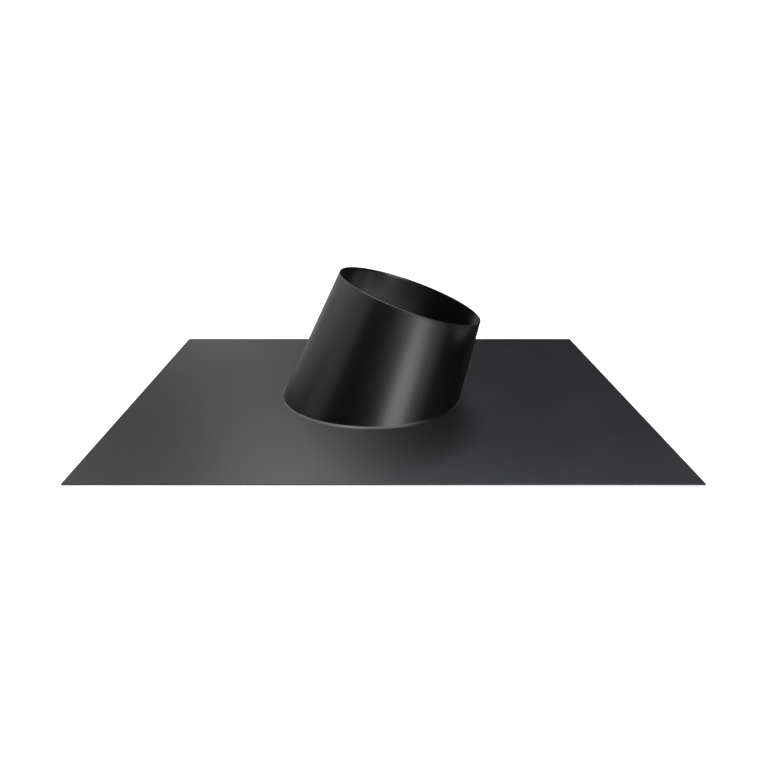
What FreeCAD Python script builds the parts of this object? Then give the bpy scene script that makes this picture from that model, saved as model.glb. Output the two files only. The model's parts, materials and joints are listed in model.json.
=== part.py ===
import FreeCAD, Part
import math
import os

# Chimney roof flashing for a round flue, in mm and degrees.
# A flat steel plate lies on the roof slope, with +X up the slope.
# A conical collar is welded round the hole in the plate. It leans up the slope by the pitch of the
# roof, so the flue stands plumb in it. It narrows upwards to a round rim, square to its own axis.
# The origin is the middle of the plate's underside.

# Driving dimensions
plate_length = 800.0
plate_width = 600.0
plate_thickness = 1.5
plate_corner_radius = 1.5
plate_edge_break = 0.3

roof_pitch = 18.6
collar_half_angle = 6.8
collar_wall = 1.5
rim_bore = 231.4
rim_edge_break = 0.4
rim_centre_forward = 46.2
rim_centre_height = 168.4

foot_weld_reach = 3.0
foot_weld_low_rise = 2.0
foot_weld_high_rise = 5.0
foot_weld_hollow = 0.35
foot_weld_sections = 6

seam_weld_width = 4.0
seam_weld_crown = 0.8

# Values that follow from them
lean = math.radians(roof_pitch)
flare = math.radians(collar_half_angle)
collar_axis = FreeCAD.Vector(math.sin(lean), 0, math.cos(lean))
back = FreeCAD.Vector(0, 1, 0)
rim_centre = FreeCAD.Vector(rim_centre_forward, 0, rim_centre_height)
rim_inner_radius = rim_bore / 2
rim_outer_radius = rim_inner_radius + collar_wall / math.cos(flare)
cone_drop = 2 * rim_centre_height + rim_outer_radius


def arc_radius(chord, crown):
    """Radius of the arc that stands up by crown in the middle of its chord."""
    return (chord ** 2 / 4 + crown ** 2) / (2 * crown)


def solid_cone(rim_radius):
    """Cone on the collar's axis, from the plane of the rim down through the roof."""
    foot_radius = rim_radius + cone_drop * math.tan(flare)
    return Part.makeCone(rim_radius, foot_radius, cone_drop, rim_centre, -collar_axis)


def level_section(rim_radius, height, grow=0.0, shift=0.0):
    """Ellipse in which the cone meets a level plane, made wider all round and shifted up the slope."""
    reach = rim_radius * math.cos(lean)
    dip = rim_radius * math.sin(lean)
    upper_drop = rim_centre_height - dip - height
    lower_drop = rim_centre_height + dip - height
    upper_end = rim_centre_forward + reach - upper_drop * math.tan(lean - flare)
    lower_end = rim_centre_forward - reach - lower_drop * math.tan(lean + flare)
    half_length = (upper_end - lower_end) / 2
    half_width = half_length * math.sqrt(1 - (math.sin(lean) / math.cos(flare)) ** 2)
    middle = FreeCAD.Vector((upper_end + lower_end) / 2 + shift, 0, height)
    ellipse = Part.Ellipse(middle, half_length + grow, half_width + grow)
    return Part.Wire([ellipse.toShape()])


def above_plate(shape):
    """The part of a shape that lies above the plate's top face."""
    reach = 2 * (plate_length + cone_drop)
    corner = FreeCAD.Vector(-reach / 2, -reach / 2, plate_thickness - reach)
    return shape.cut(Part.makeBox(reach, reach, reach, corner))


def make_base_plate():
    """Flat sheet with an oval hole that carries on the inside of the collar."""
    corner = FreeCAD.Vector(-plate_length / 2, -plate_width / 2, 0)
    sheet = Part.makeBox(plate_length, plate_width, plate_thickness, corner)
    upright = [e for e in sheet.Edges if abs(e.tangentAt(e.FirstParameter).z) > 0.5]
    sheet = sheet.makeFillet(plate_corner_radius, upright)
    outline = [e for e in sheet.Edges if abs(e.tangentAt(e.FirstParameter).z) < 0.5]
    sheet = sheet.makeChamfer(plate_edge_break, outline)
    hole = Part.Face(level_section(rim_inner_radius, plate_thickness))
    return sheet.cut(hole.extrude(FreeCAD.Vector(0, 0, -2 * plate_thickness)))


def make_collar():
    """Rolled cone of sheet, cut level to stand on the plate, with its rim's edges broken."""
    wall = above_plate(solid_cone(rim_outer_radius).cut(solid_cone(rim_inner_radius)))
    rim_edges = [e for e in wall.Edges if isinstance(e.Curve, Part.Circle)
                 and e.Curve.Center.distanceToPoint(rim_centre) < rim_edge_break]
    return wall.makeChamfer(rim_edge_break, rim_edges)


def make_foot_weld():
    """Fillet weld all round the collar's foot, with a slightly hollow face.

    Its reach over the plate is even. It ends low on the wall that leans away from it, down the slope,
    and high on the wall that overhangs it, up the slope.
    """
    low_slope = foot_weld_reach / foot_weld_low_rise
    high_slope = foot_weld_reach / foot_weld_high_rise
    sections = []
    for number in range(foot_weld_sections + 1):
        share = number / (foot_weld_sections - 1)
        rise = share * foot_weld_high_rise
        sag = 4 * foot_weld_hollow * share * (1 - share)
        grow = foot_weld_reach - rise * (low_slope + high_slope) / 2 - sag
        shift = rise * (low_slope - high_slope) / 2
        sections.append(level_section(rim_outer_radius, plate_thickness + rise, grow, shift))
    return Part.makeLoft(sections, True, False).cut(solid_cone(rim_outer_radius))


def make_seam_weld(foot_weld):
    """Low bead up the back of the collar, where the rolled sheet is joined."""
    radius = arc_radius(seam_weld_width, seam_weld_crown)
    down_seam = back * math.sin(flare) - collar_axis * math.cos(flare)
    outward = back * math.cos(flare) + collar_axis * math.sin(flare)
    rim_back = rim_centre + back * rim_outer_radius
    start = rim_back - outward * (radius - seam_weld_crown) - down_seam * seam_weld_width
    bead = Part.makeCylinder(radius, cone_drop, start, down_seam)
    bead = bead.cut(solid_cone(rim_outer_radius))
    bead = bead.common(solid_cone(rim_outer_radius + seam_weld_width))
    return above_plate(bead).cut(foot_weld)


foot_weld = make_foot_weld()
shapes = {
    "base_plate": make_base_plate(),
    "collar": make_collar(),
    "foot_weld": foot_weld,
    "seam_weld": make_seam_weld(foot_weld),
}

os.makedirs("parts", exist_ok=True)
for node, shape in shapes.items():
    shape.exportStep("parts/" + node + ".step")
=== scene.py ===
"""Chimney roof flashing: a satin black steel plate with a leaning conical collar welded over its hole.

The pieces are in metres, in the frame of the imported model: the origin is the middle of the plate's
underside, +X runs up the roof slope, the way the collar leans, and +Z is square to the plate.
"""

import json
import logging
import math
from dataclasses import dataclass
from enum import Enum

import bpy
import numpy as np
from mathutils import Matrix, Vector


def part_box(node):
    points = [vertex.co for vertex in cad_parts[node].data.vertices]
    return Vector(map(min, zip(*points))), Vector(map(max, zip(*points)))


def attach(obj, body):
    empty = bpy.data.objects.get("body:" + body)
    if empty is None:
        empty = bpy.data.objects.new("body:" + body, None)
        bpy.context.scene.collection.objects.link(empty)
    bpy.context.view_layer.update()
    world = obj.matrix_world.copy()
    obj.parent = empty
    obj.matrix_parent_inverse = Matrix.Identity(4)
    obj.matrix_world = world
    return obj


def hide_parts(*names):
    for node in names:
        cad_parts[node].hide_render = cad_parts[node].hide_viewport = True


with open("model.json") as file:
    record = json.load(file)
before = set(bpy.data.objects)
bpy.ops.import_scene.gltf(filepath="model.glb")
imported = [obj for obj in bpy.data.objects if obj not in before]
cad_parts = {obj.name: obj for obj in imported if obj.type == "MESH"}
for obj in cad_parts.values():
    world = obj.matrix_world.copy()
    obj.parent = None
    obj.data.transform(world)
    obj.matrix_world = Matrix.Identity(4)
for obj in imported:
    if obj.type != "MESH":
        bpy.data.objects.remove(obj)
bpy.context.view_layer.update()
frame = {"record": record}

log = logging.getLogger("roof_flashing")

BODY = "root"

# The camera's frame, in pixels, and its sensor, in millimetres.
PHOTO_SIDE = 768
SENSOR_WIDTH = 36.0

# The turn between two faces, in degrees, past which their edge shows sharp.
SHEET_CREASE = 50.0
BEAD_CREASE = 60.0

# The corners of a level rectangle, anticlockwise, as shares of its half sides.
CORNER_SIGNS = ((1, 1), (-1, 1), (-1, -1), (1, -1))


class Slot(Enum):
    """The material slots of the record, one for each piece."""

    PLATE = "plate_coat"
    COLLAR = "collar_coat"
    FOOT_WELD = "foot_weld_coat"
    SEAM_WELD = "seam_weld_coat"


def mount(name: str) -> dict:
    """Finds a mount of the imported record.

    Args:
        name: the mount's name.

    Returns:
        The mount's entry.
    """
    return next(entry for entry in frame["record"]["mounts"] if entry["name"] == name)


def ring_quads(columns: int, rows: int, closed_rows: bool = True) -> np.ndarray:
    """Corner numbers of the quads of a grid whose columns close on themselves.

    Vertex number is column times rows plus row. Each quad joins a column and the next at two rows that
    follow each other, and the last column is joined to the first.

    Args:
        columns: the number of columns round the closed direction.
        rows: the number of vertices in each column.
        closed_rows: whether the last row is joined to the first as well.

    Returns:
        An array of shape (quads, 4).
    """
    column = np.arange(columns)[:, None]
    row = np.arange(rows if closed_rows else rows - 1)[None, :]
    next_column = (column + 1) % columns
    next_row = (row + 1) % rows
    corners = (column * rows + row, next_column * rows + row,
               next_column * rows + next_row, column * rows + next_row)
    return np.stack(np.broadcast_arrays(*corners), axis=-1).reshape(-1, 4)


def new_piece(name: str, points: np.ndarray, faces: list, crease: float) -> bpy.types.Object:
    """Makes a smooth-shaded piece at the origin, with sharp edges where its faces turn a lot.

    Args:
        name: the piece's name.
        points: its vertices, in metres, in an array whose last axis holds x, y and z.
        faces: its faces, as lists of vertex numbers.
        crease: the turn between two faces, in degrees, past which their edge is sharp.

    Returns:
        The new object.
    """
    mesh = bpy.data.meshes.new(name)
    mesh.from_pydata(points.reshape(-1, 3).tolist(), [], faces)
    mesh.polygons.foreach_set("use_smooth", np.ones(len(mesh.polygons), dtype=bool))
    mesh.set_sharp_from_angle(angle=math.radians(crease))
    mesh.update()
    piece = bpy.data.objects.new(name, mesh)
    bpy.context.scene.collection.objects.link(piece)
    return piece


@dataclass(frozen=True)
class Cone:
    """One face of the collar's wall: a cone round the leaning axis, which widens downwards."""

    rim_centre: np.ndarray
    axis: np.ndarray
    rim_radius: float
    flare: float

    def outward(self, angle: np.ndarray) -> np.ndarray:
        """Unit vectors square to the axis: cosine of the angle up the slope, sine towards the back."""
        up_slope = np.array([self.axis[2], 0.0, -self.axis[0]])
        back = np.array([0.0, 1.0, 0.0])
        return np.cos(angle)[..., None] * up_slope + np.sin(angle)[..., None] * back

    def normal(self, angle: np.ndarray) -> np.ndarray:
        """Unit vectors square to the wall, which lift off the outward ones by the flare."""
        return self.outward(angle) * math.cos(self.flare) + self.axis * math.sin(self.flare)

    def point(self, angle: np.ndarray, drop: np.ndarray) -> np.ndarray:
        """Points of the wall.

        A point lies down the wall from the rim: rim centre, plus outward vector times rim radius plus
        drop times the sine of the flare, minus axis times drop times the cosine of the flare.

        Args:
            angle: where it lies round the axis, in radians.
            drop: how far it lies down the wall from the rim, in metres.

        Returns:
            The points, with x, y and z on the last axis.
        """
        radius = self.rim_radius + drop * math.sin(self.flare)
        fall = drop * math.cos(self.flare)
        return self.rim_centre + radius[..., None] * self.outward(angle) - fall[..., None] * self.axis

    def drop_to(self, height: float | np.ndarray, angle: np.ndarray) -> np.ndarray:
        """How far down the wall it meets a level plane.

        The height of a point falls evenly with its drop, so the drop is the rim's height over the plane,
        divided by that fall for each metre of wall.

        Args:
            height: the plane's height, or one for each angle.
            angle: where the wall is followed, in radians.

        Returns:
            The drops, in metres.
        """
        rise = self.outward(angle)[..., 2]
        rim_height = self.rim_centre[2] + self.rim_radius * rise
        fall = math.cos(self.flare) * self.axis[2] - math.sin(self.flare) * rise
        return (rim_height - height) / fall


@dataclass(frozen=True)
class Ripple:
    """The fine waves that a weld bead keeps from the pool of metal that made it."""

    bow: float
    pitch: float = 0.0022
    depth: float = 0.00006

    def height(self, along: np.ndarray, across: np.ndarray) -> np.ndarray:
        """Height of the waves, which fade towards both edges of the bead and bow backwards in its middle.

        It is the depth times the cosine of the way along in pitches, shifted by the bow, times one minus
        the square of the way across.

        Args:
            along: the way along the bead, in metres.
            across: the way across it, from -1 to 1.

        Returns:
            The heights, in metres.
        """
        fade = 1.0 - across ** 2
        return self.depth * fade * np.cos(2 * math.pi * (along / self.pitch + self.bow * fade))


@dataclass
class CollarShape:
    """The collar's two cones and the level of the plate's top face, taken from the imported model."""

    wall: float = 0.0015
    flare: float = math.radians(6.8)

    def __post_init__(self) -> None:
        """Reads the rim's place, lean and inner radius from the mount that a flue stands in."""
        rim = mount("flue_collar")
        axis = np.array(rim["axis"], dtype=float)
        axis /= np.linalg.norm(axis)
        centre = np.array(rim["pos_m"], dtype=float)
        bore = rim["dims"]["r_mm"] / 1000
        self.inner = Cone(centre, axis, bore, self.flare)
        self.outer = Cone(centre, axis, bore + self.wall / math.cos(self.flare), self.flare)
        self.plate_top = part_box("base_plate")[1].z

    def section(self, cone: Cone, height: np.ndarray) -> tuple[np.ndarray, np.ndarray, np.ndarray]:
        """Ellipses in which level planes cut a cone of the collar.

        The two ends of an ellipse are where the wall meets the plane up and down the slope. Its width is
        its length times the root of one minus the square of its eccentricity, which is the sine of the
        lean divided by the cosine of the flare.

        Args:
            cone: the inner or outer cone.
            height: the planes' heights.

        Returns:
            The x of each ellipse's middle, its half length along X and its half width along Y.
        """
        ends = [cone.point(turn, cone.drop_to(height, turn))[..., 0] for turn in
                (np.zeros_like(height), np.full_like(height, math.pi))]
        middle = (ends[0] + ends[1]) / 2
        half_length = (ends[0] - ends[1]) / 2
        eccentricity = cone.axis[0] / math.cos(cone.flare)
        return middle, half_length, half_length * math.sqrt(1 - eccentricity ** 2)


@dataclass
class BasePlate:
    """The flat sheet, with a hole that carries on the inside of the collar."""

    shape: CollarShape
    edge_radius: float = 0.0004
    corner_radius: float = 0.0015
    side_columns: int = 48
    corner_columns: int = 8
    edge_rows: int = 5

    def outline(self, inset: np.ndarray) -> np.ndarray:
        """Points round the sheet's outline, which is straight runs joined by corner arcs.

        Each corner is an arc about a centre that lies the corner radius inside both sides, and its radius
        is the corner radius less the inset. Runs are evenly divided between the arcs' ends.

        Args:
            inset: how far inside the true outline each row runs, in metres.

        Returns:
            An array of shape (columns, rows, 2), in turn from the +X side, anticlockwise.
        """
        low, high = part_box("base_plate")
        half = np.array([(high.x - low.x) / 2, (high.y - low.y) / 2])
        turn = np.linspace(0, math.pi / 2, self.corner_columns)
        run = np.linspace(0, 1, self.side_columns + 2)[1:-1]
        corners = []
        for number, signs in enumerate(CORNER_SIGNS):
            centre = (half - self.corner_radius) * np.array(signs)
            angle = turn + number * math.pi / 2
            spoke = np.stack([np.cos(angle), np.sin(angle)], axis=-1)
            reach = (self.corner_radius - inset)[None, :, None]
            corners.append(centre + reach * spoke[:, None, :])
        parts = []
        for number, corner in enumerate(corners):
            after = corners[(number + 1) % len(corners)]
            parts.append(corner)
            parts.append(corner[-1] + run[:, None, None] * (after[0] - corner[-1]))
        return np.concatenate(parts)

    def build(self) -> bpy.types.Object:
        """Makes the sheet as one closed skin.

        Its section runs up the hole's wall, out over the top face, round the rounded edge, down the side
        and back under the sheet. A row close to each edge holds the flat faces flat, at twice the edge
        radius from the outline.

        Returns:
            The piece.
        """
        thickness = self.shape.plate_top
        radius = self.edge_radius
        holding = 2 * radius
        bend = np.linspace(0, math.pi / 2, self.edge_rows)
        upper_inset = radius * (1 - np.sin(bend))
        upper_height = thickness - radius * (1 - np.cos(bend))
        inset = np.concatenate([[holding], upper_inset, upper_inset[::-1], [holding]])
        height = np.concatenate([[thickness], upper_height, thickness - upper_height[::-1], [0.0]])
        rim = self.outline(inset)
        rows = np.broadcast_to(height, rim.shape[:2])
        rim = np.concatenate([rim, rows[..., None]], axis=-1)
        hole = self.hole(rim[:, 0, :2])
        points = np.concatenate([hole[:, ::-1], rim], axis=1)
        quads = ring_quads(points.shape[0], points.shape[1])[:, ::-1]
        return new_piece("flashing_plate", points, quads.tolist(), SHEET_CREASE)

    def hole(self, outer: np.ndarray) -> np.ndarray:
        """Points of the hole's edge that lie towards the outline's points from the hole's middle.

        The hole is the ellipse in which the inner cone meets the top face. Its reach in a direction is
        half length times half width, divided by the root of the sum of the squares of half width times
        the direction's cosine and half length times its sine.

        Args:
            outer: the outline's points, of shape (columns, 2).

        Returns:
            An array of shape (columns, 4, 3): top face, top edge, bottom edge and bottom face.
        """
        thickness = self.shape.plate_top
        middle, length, width = (value.item() for value in
                                 self.shape.section(self.shape.inner, np.array([thickness])))
        direction = outer - np.array([middle, 0.0])
        direction /= np.linalg.norm(direction, axis=-1, keepdims=True)
        reach = length * width / np.hypot(width * direction[:, 0], length * direction[:, 1])
        edge = np.array([middle, 0.0]) + reach[:, None] * direction
        beside = edge + direction * self.edge_radius
        rows = ((beside, thickness), (edge, thickness), (edge, 0.0), (beside, 0.0))
        return np.stack([np.column_stack([at, np.full(len(at), z)]) for at, z in rows], axis=1)


@dataclass
class Collar:
    """The rolled cone of sheet, open at both ends, with a rounded cut edge at its rim."""

    shape: CollarShape
    edge_radius: float = 0.0006
    columns: int = 288
    wall_rows: int = 40
    edge_rows: int = 5

    def build(self) -> bpy.types.Object:
        """Makes the collar as one closed skin.

        Round the axis it follows the angle. Its section runs up the outer wall from the plate, round the
        rim's two rounded edges and down the inner wall, and closes on the plate. Wall rows lie at even
        shares of the drop from the rim's edge to the plate.

        Returns:
            The piece.
        """
        angle = np.linspace(0, 2 * math.pi, self.columns, endpoint=False)[:, None]
        share = np.linspace(1, 0, self.wall_rows)[None, :]
        walls = []
        for cone in (self.shape.outer, self.shape.inner):
            foot = cone.drop_to(self.shape.plate_top, angle)
            drop = self.edge_radius + share * (foot - self.edge_radius)
            walls.append(cone.point(np.broadcast_to(angle, drop.shape), drop))
        rounds = [self.rim_round(self.shape.outer, angle, 1.0),
                  self.rim_round(self.shape.inner, angle, -1.0)]
        points = np.concatenate([walls[0], rounds[0], rounds[1][:, ::-1], walls[1][:, ::-1]], axis=1)
        quads = ring_quads(points.shape[0], points.shape[1])
        return new_piece("flue_collar", points, quads.tolist(), SHEET_CREASE)

    def rim_round(self, cone: Cone, angle: np.ndarray, side: float) -> np.ndarray:
        """Rounded edge between one face of the wall and the cut end of the sheet.

        It is a quarter circle about a point that lies the edge radius below the rim and the edge radius
        inside the sheet: the point, plus the wall's own side times the sine, plus the axis times cosine.

        Args:
            cone: the wall's face.
            angle: the columns' angles, of shape (columns, 1).
            side: 1 on the outside of the sheet and -1 on its inside.

        Returns:
            An array of shape (columns, edge rows - 1, 3), from the wall to the cut end.
        """
        bend = np.linspace(math.pi / 2, 0, self.edge_rows)[None, 1:]
        drop = np.full_like(angle, self.edge_radius)
        outward = cone.outward(angle)
        centre = cone.point(angle, drop) - side * self.edge_radius * outward
        spread = side * np.sin(bend)[..., None] * outward + np.cos(bend)[..., None] * cone.axis
        return centre + self.edge_radius * spread


@dataclass
class FootWeld:
    """The fillet weld all round the collar's foot, with a hollow and finely rippled face.

    It ends low on the wall that leans away from it, down the slope, and high under the overhang.
    """

    shape: CollarShape
    reach: float = 0.003
    low_rise: float = 0.002
    high_rise: float = 0.005
    hollow: float = 0.00035
    ripple: Ripple = Ripple(bow=0.45)
    columns: int = 2400
    face_rows: int = 11

    def build(self) -> bpy.types.Object:
        """Makes the bead as one closed skin.

        Its face goes from the reach out on the plate to the wall. At each height the face is the wall's
        ellipse, grown by the mean of the reach left on the two sides and shifted up the slope by half
        their difference. The ripples move the face outwards and upwards alike, each by their height over
        the root of two. The hidden corner of the bead closes the skin.

        Returns:
            The piece.
        """
        turn = np.linspace(0, 2 * math.pi, self.columns, endpoint=False)[:, None]
        across = np.linspace(-1, 1, self.face_rows)[None, :]
        rise = (across + 1) / 2 * self.top(turn)
        along = turn * self.shape.section(self.shape.outer, np.array([self.shape.plate_top]))[1]
        wave = self.ripple.height(along, across) / math.sqrt(2)
        grow = self.grow(rise) + wave
        height = self.shape.plate_top + rise + wave
        middle, length, width = self.shape.section(self.shape.outer, height)
        x = middle + self.shift(rise) + (length + grow) * np.cos(turn)
        y = (width + grow) * np.sin(turn)
        face = np.stack([x, y, height], axis=-1)
        points = np.concatenate([face, self.corner(turn)], axis=1)
        quads = ring_quads(points.shape[0], points.shape[1])
        return new_piece("foot_weld_bead", points, quads.tolist(), BEAD_CREASE)

    def slopes(self) -> tuple[float, float]:
        """How fast the reach shrinks with height, on the lower and on the upper side."""
        return self.reach / self.low_rise, self.reach / self.high_rise

    def grow(self, rise: np.ndarray) -> np.ndarray:
        """The mean reach left at a height: the reach, less height times mean slope, less the hollow."""
        share = rise / self.high_rise
        return self.reach - rise * sum(self.slopes()) / 2 - 4 * self.hollow * share * (1 - share)

    def shift(self, rise: np.ndarray) -> np.ndarray:
        """How far a section moves up the slope: height times half the difference of the slopes."""
        low, high = self.slopes()
        return rise * (low - high) / 2

    def top(self, turn: np.ndarray) -> np.ndarray:
        """The height at which the face meets the wall.

        There the reach that is left is none. That is a quadratic in the height, whose lower root is the
        answer: hollow times four over the square of the high rise, times height squared, less height
        times the slope at this turn with the hollow's own, plus reach.

        Args:
            turn: where it is round the bead, in radians from up the slope.

        Returns:
            The heights over the plate.
        """
        low, high = self.slopes()
        square = 4 * self.hollow / self.high_rise ** 2
        slope = (low + high) / 2 - (low - high) / 2 * np.cos(turn) + 4 * self.hollow / self.high_rise
        return (slope - np.sqrt(slope ** 2 - 4 * square * self.reach)) / (2 * square)

    def corner(self, turn: np.ndarray) -> np.ndarray:
        """The hidden corner, where the wall meets the plate."""
        level = np.full_like(turn, self.shape.plate_top)
        middle, length, width = self.shape.section(self.shape.outer, level)
        return np.stack([middle + length * np.cos(turn), width * np.sin(turn), level], axis=-1)


@dataclass
class SeamWeld:
    """The low bead up the back of the collar, which closes the rolled sheet."""

    shape: CollarShape
    width: float = 0.004
    crown: float = 0.0008
    root: float = 0.0002
    foot_clearance: float = 0.002
    ripple: Ripple = Ripple(bow=0.4)
    length_rows: int = 640
    face_columns: int = 9

    def build(self) -> bpy.types.Object:
        """Makes the bead as one closed skin with flat ends.

        Across the seam its height over the wall is the crown times one minus the square of the way
        across, plus the ripples, and its root lies just inside the wall. A point is the wall's point at
        that way across, lifted by the height along the wall's normal.

        Returns:
            The piece.
        """
        cone = self.shape.outer
        back = np.array([math.pi / 2])
        foot = cone.drop_to(self.shape.plate_top + self.foot_clearance, back).item()
        drop = np.linspace(0, foot, self.length_rows)[:, None]
        across = np.linspace(-1, 1, self.face_columns)[None, :]
        lift = self.crown * (1 - across ** 2) + self.ripple.height(drop, across)
        face = self.lifted(drop, across, lift)
        root = self.lifted(drop, across[:, ::-1], np.full_like(lift, -self.root))
        points = np.concatenate([face, root], axis=1)
        loops = np.transpose(points, (1, 0, 2))
        quads = ring_quads(loops.shape[0], loops.shape[1], closed_rows=False)[:, ::-1]
        starts = np.arange(loops.shape[0]) * self.length_rows
        ends = [starts.tolist(), (starts[::-1] + self.length_rows - 1).tolist()]
        return new_piece("seam_weld_bead", loops, quads.tolist() + ends, BEAD_CREASE)

    def lifted(self, drop: np.ndarray, across: np.ndarray, lift: np.ndarray) -> np.ndarray:
        """Points over the wall's back, at half the bead's width times the way across to the side."""
        cone = self.shape.outer
        radius = cone.rim_radius + drop * math.sin(cone.flare)
        angle = math.pi / 2 + across * self.width / 2 / radius
        wall = cone.point(angle, np.broadcast_to(drop, angle.shape))
        return wall + lift[..., None] * cone.normal(angle)


class NodeGraph:
    """A node tree with short ways to add nodes and join them."""

    def __init__(self, tree: bpy.types.NodeTree) -> None:
        """Keeps the tree that the nodes go into."""
        self.tree = tree

    def add(self, kind: str, inputs: dict | None = None, **settings: object) -> bpy.types.Node:
        """Adds a node.

        Args:
            kind: the node's type name.
            inputs: values, or output sockets of other nodes, by input name or number.
            settings: the node's own properties.

        Returns:
            The new node.
        """
        node = self.tree.nodes.new(kind)
        for name, value in settings.items():
            setattr(node, name, value)
        self.feed(node, inputs or {})
        return node

    def feed(self, node: bpy.types.Node, inputs: dict) -> None:
        """Sets the inputs of a node, or joins them to other nodes.

        Args:
            node: the node.
            inputs: values, or output sockets of other nodes, by input name or number.
        """
        for name, value in inputs.items():
            if isinstance(value, bpy.types.NodeSocket):
                self.tree.links.new(value, node.inputs[name])
            else:
                node.inputs[name].default_value = value

    def math(self, operation: str, first: object, second: object = 0.0) -> bpy.types.NodeSocket:
        """Adds a Math node and returns its result."""
        return self.add("ShaderNodeMath", {0: first, 1: second}, operation=operation).outputs[0]


def new_material(name: str) -> tuple[bpy.types.Material, NodeGraph, bpy.types.Node]:
    """Makes a material with one shader.

    Args:
        name: the material's name.

    Returns:
        The material, its nodes and its shader.
    """
    material = bpy.data.materials.new(name)
    material.use_nodes = True
    return material, NodeGraph(material.node_tree), material.node_tree.nodes["Principled BSDF"]


class Effect(Enum):
    """The node groups that more than one finish or light uses."""

    POWDER = "powder_texture"
    GLOW = "soft_glow"


class Socket(Enum):
    """The kinds of value that a node group takes and gives."""

    NUMBER = "NodeSocketFloat"
    VECTOR = "NodeSocketVector"


def new_group(effect: Effect, takes: dict[str, Socket], gives: dict[str, Socket]) -> NodeGraph:
    """Starts the node group of an effect.

    Args:
        effect: the effect.
        takes: the kind of each input, by name.
        gives: the kind of each output, by name.

    Returns:
        The group's nodes, of which there are none yet.
    """
    tree = bpy.data.node_groups.new(effect.value, "ShaderNodeTree")
    for side, sockets in (("INPUT", takes), ("OUTPUT", gives)):
        for name, kind in sockets.items():
            tree.interface.new_socket(name, in_out=side, socket_type=kind.value)
    return NodeGraph(tree)


def powder_texture_group() -> bpy.types.NodeTree:
    """Builds the surface of a baked powder coat once.

    A wide noise is the orange peel of the flowed powder, a fine noise is its grain, and a slow noise is
    the drift in gloss across a panel. The height is the peel plus the grain times its weight.

    Returns:
        The group, with inputs for the scales and the weight and outputs for height and drift.
    """
    found = bpy.data.node_groups.get(Effect.POWDER.value)
    if found:
        return found
    detail = {"Peel": 1.0, "Grain": 2.0, "Drift": 3.0}
    takes = {name + " Scale": Socket.NUMBER for name in detail} | {"Grain Weight": Socket.NUMBER}
    graph = new_group(Effect.POWDER, takes, {"Height": Socket.NUMBER, "Drift": Socket.NUMBER})
    given = graph.add("NodeGroupInput").outputs
    place = graph.add("ShaderNodeTexCoord").outputs["Object"]
    noises = {}
    for name, levels in detail.items():
        noise = graph.add("ShaderNodeTexNoise", {"Vector": place, "Scale": given[name + " Scale"],
                                                 "Detail": levels})
        noises[name] = noise.outputs["Fac"]
    grain = graph.math("MULTIPLY", noises["Grain"], given["Grain Weight"])
    height = graph.math("ADD", noises["Peel"], grain)
    graph.add("NodeGroupOutput", {"Height": height, "Drift": noises["Drift"]})
    return graph.tree


@dataclass(frozen=True)
class PowderCoat:
    """A baked satin black powder coat on steel."""

    name: str
    colour: tuple[float, float, float] = (0.0018, 0.0018, 0.0019)
    shade_spread: float = 0.15
    roughness: tuple[float, float] = (0.29, 0.31)
    drift_range: tuple[float, float] = (0.3, 0.7)
    index: float = 1.5
    peel_scale: float = 420.0
    grain_scale: float = 2600.0
    grain_weight: float = 0.25
    drift_scale: float = 9.0
    bump: float = 0.12
    bump_distance: float = 0.0001

    def material(self) -> bpy.types.Material:
        """Builds the material.

        As the coat's drift goes through its range, roughness goes from its lower limit to its upper one.
        The drift also shades the colour a little, and the coat's height feeds a Bump.

        Returns:
            The new material.
        """
        material, graph, shader = new_material(self.name)
        powder = graph.add("ShaderNodeGroup", {"Peel Scale": self.peel_scale,
                                               "Grain Scale": self.grain_scale,
                                               "Drift Scale": self.drift_scale,
                                               "Grain Weight": self.grain_weight},
                           node_tree=powder_texture_group()).outputs
        gloss = graph.add("ShaderNodeMapRange", {"Value": powder["Drift"],
                                                 "From Min": self.drift_range[0],
                                                 "From Max": self.drift_range[1],
                                                 "To Min": self.roughness[0],
                                                 "To Max": self.roughness[1]})
        shade = graph.add("ShaderNodeMix", {"Factor": powder["Drift"],
                                            "A": self.shade(1 - self.shade_spread),
                                            "B": self.shade(1 + self.shade_spread)}, data_type="RGBA")
        bump = graph.add("ShaderNodeBump", {"Strength": self.bump, "Distance": self.bump_distance,
                                            "Height": powder["Height"]})
        graph.feed(shader, {"Base Color": shade.outputs["Result"], "Roughness": gloss.outputs["Result"],
                            "Normal": bump.outputs["Normal"], "IOR": self.index})
        return material

    def shade(self, share: float) -> tuple[float, float, float, float]:
        """The coat's colour times a share, opaque."""
        return (*[share * part for part in self.colour], 1.0)


def soft_glow_group() -> bpy.types.NodeTree:
    """Builds the round glow of a large soft light.

    Its value falls off from the light's middle. It is the strength times e to the power of the sharpness
    times one less than the cosine of the angle from the middle.

    Returns:
        The group, with inputs for direction, middle, sharpness and strength, and a value output.
    """
    takes = {"Direction": Socket.VECTOR, "Middle": Socket.VECTOR,
             "Sharpness": Socket.NUMBER, "Strength": Socket.NUMBER}
    graph = new_group(Effect.GLOW, takes, {"Value": Socket.NUMBER})
    given = graph.add("NodeGroupInput").outputs
    cosine = graph.add("ShaderNodeVectorMath", {0: given["Direction"], 1: given["Middle"]},
                       operation="DOT_PRODUCT").outputs["Value"]
    power = graph.math("MULTIPLY", graph.math("SUBTRACT", cosine, 1.0), given["Sharpness"])
    value = graph.math("MULTIPLY", graph.math("EXPONENT", power), given["Strength"])
    graph.add("NodeGroupOutput", {"Value": value})
    return graph.tree


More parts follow.
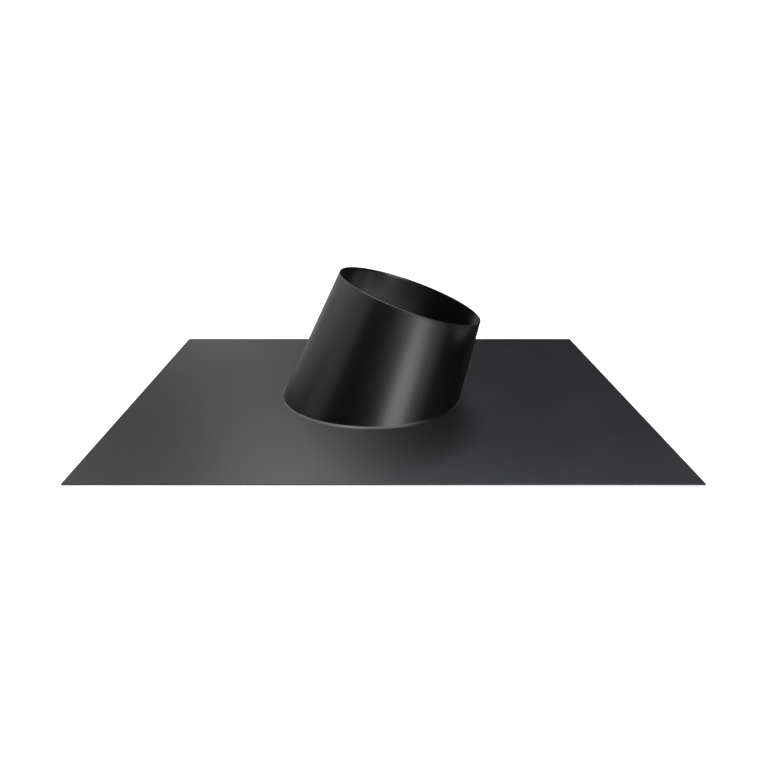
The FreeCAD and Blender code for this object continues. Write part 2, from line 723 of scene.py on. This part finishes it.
@dataclass(frozen=True)
class SoftLight:
    """A large soft light, far off in the studio, which is narrower the sharper it is.

    Azimuth and elevation are in degrees. Azimuth 0 is +Y, behind the flashing, and 90 is +X.
    """

    azimuth: float
    elevation: float
    sharpness: float
    strength: float
    tint: tuple[float, float, float] = (1.0, 1.0, 1.0)

    def middle(self) -> Vector:
        """The direction of the light's middle, as a unit vector."""
        turn, rise = math.radians(self.azimuth), math.radians(self.elevation)
        return Vector((math.sin(turn) * math.cos(rise), math.cos(turn) * math.cos(rise), math.sin(rise)))


@dataclass(frozen=True)
class Glow(SoftLight):
    """A soft light that shows only as a reflection in the coat. It throws no shadow."""

    def add(self, graph: NodeGraph, group: bpy.types.NodeTree, direction: bpy.types.NodeSocket,
            total: bpy.types.NodeSocket) -> bpy.types.NodeSocket:
        """Adds the glow to the light that glossy surfaces meet.

        Args:
            graph: the world's nodes.
            group: the group that works out a glow.
            direction: the direction that light comes from.
            total: the light of the glows so far.

        Returns:
            The light with this glow.
        """
        glow = graph.add("ShaderNodeGroup", {"Direction": direction, "Middle": self.middle(),
                                             "Sharpness": self.sharpness, "Strength": self.strength},
                         node_tree=group).outputs["Value"]
        tinted = graph.add("ShaderNodeVectorMath", {0: self.tint, "Scale": glow}, operation="SCALE")
        return graph.add("ShaderNodeVectorMath", {0: total, 1: tinted.outputs[0]},
                         operation="ADD").outputs[0]


@dataclass(frozen=True)
class Lamp(SoftLight):
    """A soft light that the coat mirrors, that lights matt surfaces too and that throws shadows."""

    def add(self, name: str) -> None:
        """Adds the lamp as a wide sun.

        Its disc is as wide as a glow of the same sharpness: the radius is two over the root of the
        sharpness. Its power is the strength times two pi over the sharpness, as the glow's own.

        Args:
            name: the lamp's name.
        """
        data = bpy.data.lights.new(name, "SUN")
        radius = 2 / math.sqrt(self.sharpness)
        data.angle = 2 * radius
        data.energy = self.strength * 2 * math.pi / self.sharpness
        data.color = self.tint
        data.cycles.use_multiple_importance_sampling = False
        lamp = bpy.data.objects.new(name, data)
        lamp.rotation_euler = self.middle().to_track_quat("Z", "Y").to_euler()
        bpy.context.scene.collection.objects.link(lamp)


@dataclass
class Floor:
    """The pale matt floor. The lamps from below shine through it, and the coat doesn't mirror it."""

    side: float = 60.0
    drop: float = 0.0003
    grey: float = 0.93

    def add(self) -> None:
        """Lays the floor just under the plate."""
        half = self.side / 2
        mesh = bpy.data.meshes.new("floor")
        mesh.from_pydata([(x * half, y * half, -self.drop) for x, y in CORNER_SIGNS], [], [(0, 1, 2, 3)])
        floor = bpy.data.objects.new("floor", mesh)
        bpy.context.scene.collection.objects.link(floor)
        material, graph, shader = new_material("pale_floor")
        graph.feed(shader, {"Base Color": (self.grey, self.grey, self.grey, 1.0), "Roughness": 1.0,
                            "Specular IOR Level": 0.0})
        mesh.materials.append(material)
        floor.visible_glossy = False
        floor.visible_shadow = False


@dataclass
class SoftLights:
    """The studio's light: an even white for the view and for matt surfaces, the glows and the lamps."""

    glows: tuple[Glow, ...] = (
        # Behind the flashing, for the sheen of the plate and of the collar's and the weld's sides.
        Glow(-37, 14, 160, 1.46),
        Glow(-30, -5, 160, 0.65),
        Glow(-15, 5, 77, 1.11),
        Glow(-9, 36, 157, 4.54),
        Glow(34, 36, 160, 0.98, (0.95, 0.94, 1.11)),
        Glow(45, -5, 28, 0.17),
        Glow(61, 12, 45, 0.37),
        # On the camera's side and low, for the bright band down the collar.
        Glow(131, -19, 160, 1.92),
        Glow(150, -20, 160, 9.05),
        Glow(161, -12, 160, 11.94),
        Glow(170, -2, 160, 3.67),
        Glow(-178, 12, 105, 3.39),
        # High up, for the line of light on the foot weld.
        Glow(105, 72, 112, 9.43),
        Glow(142, 41, 44, 7.19),
        Glow(150, 55, 45, 4.39),
        Glow(-158, 48, 44, 7.37),
        Glow(-138, 70, 23, 4.01),
        Glow(-123, 58, 45, 5.84),
        Glow(-90, 48, 157, 10.90),
        Glow(-54, 79, 160, 11.23),
        # From below, for the inside of the collar.
        Glow(78, -46, 160, 1.69),
        Glow(112, -46, 160, 2.12),
        Glow(130, -46, 60, 0.10),
        Glow(-149, -36, 44, 0.83),
    )
    lamps: tuple[Lamp, ...] = (
        # From below, through the plate's hole or past its edge.
        Lamp(-167, -36, 29, 1.56),
        # From the down-slope side, on the collar.
        Lamp(-64, 29, 21, 1.65),
        # Behind the flashing and high, on the plate.
        Lamp(-50, 67, 60, 4.22),
        Lamp(16, 58, 60, 18.17, (0.94, 0.97, 1.09)),
        Lamp(-42, 43, 30, 1.67, (1.01, 1.00, 0.98)),
        # From the down-slope side again.
        Lamp(-53, -26, 11, 0.43),
        Lamp(-102, 22, 30, 1.40),
        # From below again.
        Lamp(90, -55, 10, 1.40),
        Lamp(105, -63, 8, 1.21),
    )
    fill: float = 1.1
    backdrop: float = 1.1

    def add(self) -> None:
        """Builds the world and the lamps.

        The camera sees an even white, and matt surfaces meet one. Glossy surfaces meet the sum of the
        glows, on black, and no other light of the world.
        """
        world = bpy.data.worlds.new("studio")
        bpy.context.scene.world = world
        world.use_nodes = True
        world.node_tree.nodes.clear()
        graph = NodeGraph(world.node_tree)
        group = soft_glow_group()
        direction = graph.add("ShaderNodeTexCoord").outputs["Generated"]
        total = graph.add("ShaderNodeCombineXYZ").outputs[0]
        for glow in self.glows:
            total = glow.add(graph, group, direction, total)
        gloss = graph.add("ShaderNodeBackground", {"Color": total})
        matt, view = (graph.add("ShaderNodeBackground", {"Color": (1, 1, 1, 1), "Strength": strength})
                      for strength in (self.fill, self.backdrop))
        path = graph.add("ShaderNodeLightPath").outputs
        seen = matt.outputs[0]
        for ray, background in (("Is Glossy Ray", gloss), ("Is Camera Ray", view)):
            seen = graph.add("ShaderNodeMixShader", {0: path[ray], 1: seen,
                                                     2: background.outputs[0]}).outputs[0]
        graph.add("ShaderNodeOutputWorld", {"Surface": seen})
        world.cycles.sampling_method = "NONE"
        for number, lamp in enumerate(self.lamps):
            lamp.add("lamp_%d" % number)


@dataclass
class Camera:
    """The camera at the photograph's viewing angle, level and looking along +Y.

    Focal length and middle are in pixels of the photograph, the rest in metres and radians.
    """

    focal: float = 645.76
    middle: float = 373.6
    pitch: float = math.radians(21.42)
    place: tuple[float, float, float] = (-0.0123, -0.9986, 0.4088)
    near: float = 0.01
    far: float = 200.0

    def add(self) -> None:
        """Places the camera and makes it the scene's."""
        data = bpy.data.cameras.new("camera")
        data.sensor_width = SENSOR_WIDTH
        data.lens = SENSOR_WIDTH * self.focal / PHOTO_SIDE
        data.shift_x = (PHOTO_SIDE / 2 - self.middle) / PHOTO_SIDE
        data.clip_start = self.near
        data.clip_end = self.far
        camera = bpy.data.objects.new("camera", data)
        camera.location = self.place
        camera.rotation_euler = (math.pi / 2 - self.pitch, 0.0, 0.0)
        bpy.context.scene.collection.objects.link(camera)
        bpy.context.scene.camera = camera


def build_studio() -> None:
    """Sets up floor, light and camera, with colours shown as they are."""
    for part in (Floor(), SoftLights(), Camera()):
        part.add()
    bpy.context.scene.view_settings.view_transform = "Standard"


def finish_piece(piece: bpy.types.Object, node: str, slot: Slot) -> None:
    """Dresses a piece and lets it stand for its solid. The coat mirrors the studio and no piece.

    Args:
        piece: the new piece.
        node: the solid that it stands for.
        slot: the record's material slot, whose name its coat takes.
    """
    piece.data.materials.append(PowderCoat(slot.value).material())
    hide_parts(node)
    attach(piece, BODY)
    piece.visible_glossy = False
    log.info("%s: %d faces, for %s", piece.name, len(piece.data.polygons), node)


def main() -> None:
    """Builds the studio and the pieces in order."""
    logging.basicConfig(level=logging.INFO, format="%(name)s: %(message)s")
    build_studio()
    shape = CollarShape()
    parts = ((BasePlate, "base_plate", Slot.PLATE), (Collar, "collar", Slot.COLLAR),
             (FootWeld, "foot_weld", Slot.FOOT_WELD), (SeamWeld, "seam_weld", Slot.SEAM_WELD))
    for part, node, slot in parts:
        finish_piece(part(shape).build(), node, slot)


if __name__ == "__main__":
    main()
